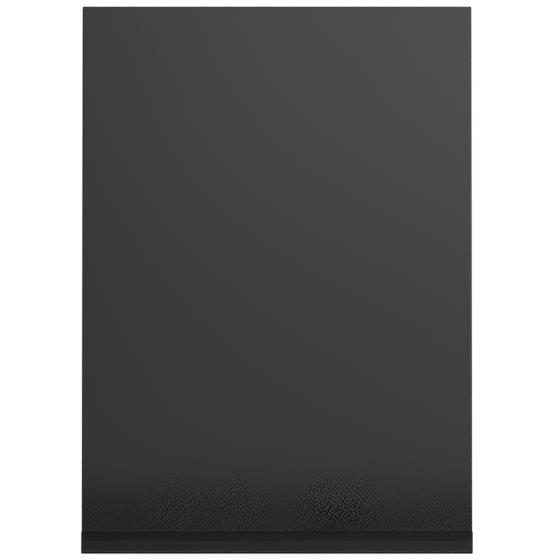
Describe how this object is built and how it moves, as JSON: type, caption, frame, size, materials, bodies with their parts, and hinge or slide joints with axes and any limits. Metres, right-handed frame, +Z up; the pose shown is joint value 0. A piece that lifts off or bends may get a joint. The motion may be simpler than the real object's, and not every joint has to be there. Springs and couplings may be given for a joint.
{
  "type": "kick plate",
  "caption": "Upright door kick plate: a grained dark grey folded pan that hangs on concealed hook rails, with a height-adjustable rubber door bottom sweep along its foot.",
  "frame": {"origin": "middle of the six rail screw holes, on the door's surface", "axes": "+X to the right seen from in front, +Y into the door, +Z up"},
  "size_m": [0.762, 0.016, 1.067],
  "materials": {
    "grained_coat": "satin grained powder coat on steel sheet",
    "rail_aluminium": "mill finish extrusion",
    "coppered_steel": "copper-flashed weld studs",
    "zinc_steel": "bright zinc plate",
    "galvanised_steel": "galvanised sheet",
    "trim_rubber": "extruded rubber edging",
    "black_anodised": "black anodised extrusion",
    "blade_rubber": "smooth extruded rubber",
    "cap_nylon": "moulded nylon"
  },
  "bodies": {
    "door_rails": {"upper_door_rail": "rail_aluminium", "lower_door_rail": "rail_aluminium"},
    "plate": {"face_pan": "grained_coat", "upper_hanger": "rail_aluminium", "lower_hanger": "rail_aluminium", "upper_hanger_studs": "coppered_steel", "lower_hanger_studs": "coppered_steel", "upper_hanger_nuts": "zinc_steel", "lower_hanger_nuts": "zinc_steel", "left_stiffener": "galvanised_steel", "middle_stiffener": "galvanised_steel", "right_stiffener": "galvanised_steel", "left_edge_trim": "trim_rubber", "right_edge_trim": "trim_rubber", "top_edge_trim": "trim_rubber", "sweep_studs": "coppered_steel", "sweep_washers": "zinc_steel", "sweep_nuts": "zinc_steel"},
    "sweep": {"sweep_carrier": "black_anodised", "sweep_blade": "blade_rubber", "left_carrier_cap": "cap_nylon", "right_carrier_cap": "cap_nylon"}
  },
  "joints": [
    {"name": "plate_lift", "type": "slide", "parent": "door_rails", "child": "plate", "axis": [0, 0, 1], "range_m": [0, 0.013]},
    {"name": "sweep_drop", "type": "slide", "parent": "plate", "child": "sweep", "axis": [0, 0, -1], "range_m": [0, 0.01]}
  ]
}
